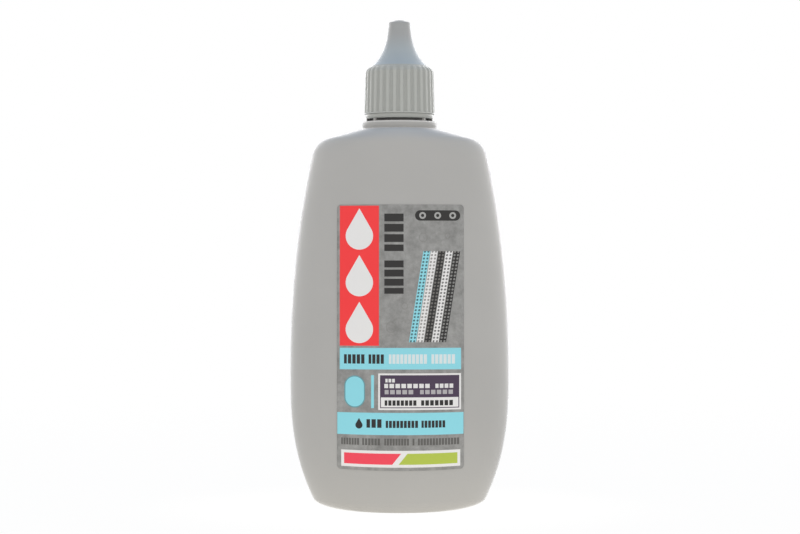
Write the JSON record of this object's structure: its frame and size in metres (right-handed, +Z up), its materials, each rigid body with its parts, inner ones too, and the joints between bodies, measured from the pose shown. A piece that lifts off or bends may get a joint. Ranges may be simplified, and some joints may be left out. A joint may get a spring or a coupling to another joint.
{
  "type": "chain lube bottle",
  "caption": "Flat oval squeeze bottle with a dropper plug, a ribbed screw cap with a long closed tip, a tear-off ring and a printed front label.",
  "frame": {"origin": "middle of the base, on the surface that the bottle stands on", "axes": "+Z up along the neck's axis, the label faces -Y, the width runs along X"},
  "size_m": [0.0624, 0.0303, 0.1395],
  "materials": {
    "bottle_plastic": "satin grey blown polyethylene",
    "plug_plastic": "soft natural polyethylene",
    "cap_plastic": "satin grey moulded polypropylene",
    "label_film": "printed film with a soft gloss"
  },
  "bodies": {
    "bottle": {"bottle": "bottle_plastic", "dropper_plug": "plug_plastic", "front_label": "label_film"},
    "ring": {"tear_off_ring": "cap_plastic"},
    "cap": {"screw_cap": "cap_plastic"}
  },
  "joints": [
    {"name": "cap_turn", "type": "hinge", "parent": "bottle", "child": "ring", "pos_m": [0, 0, 0.112], "axis": [0, 0, 1], "range_deg": [0, 540]},
    {"name": "cap_lift", "type": "slide", "parent": "ring", "child": "cap", "axis": [0, 0, 1], "range_m": [0, 0.032]}
  ]
}
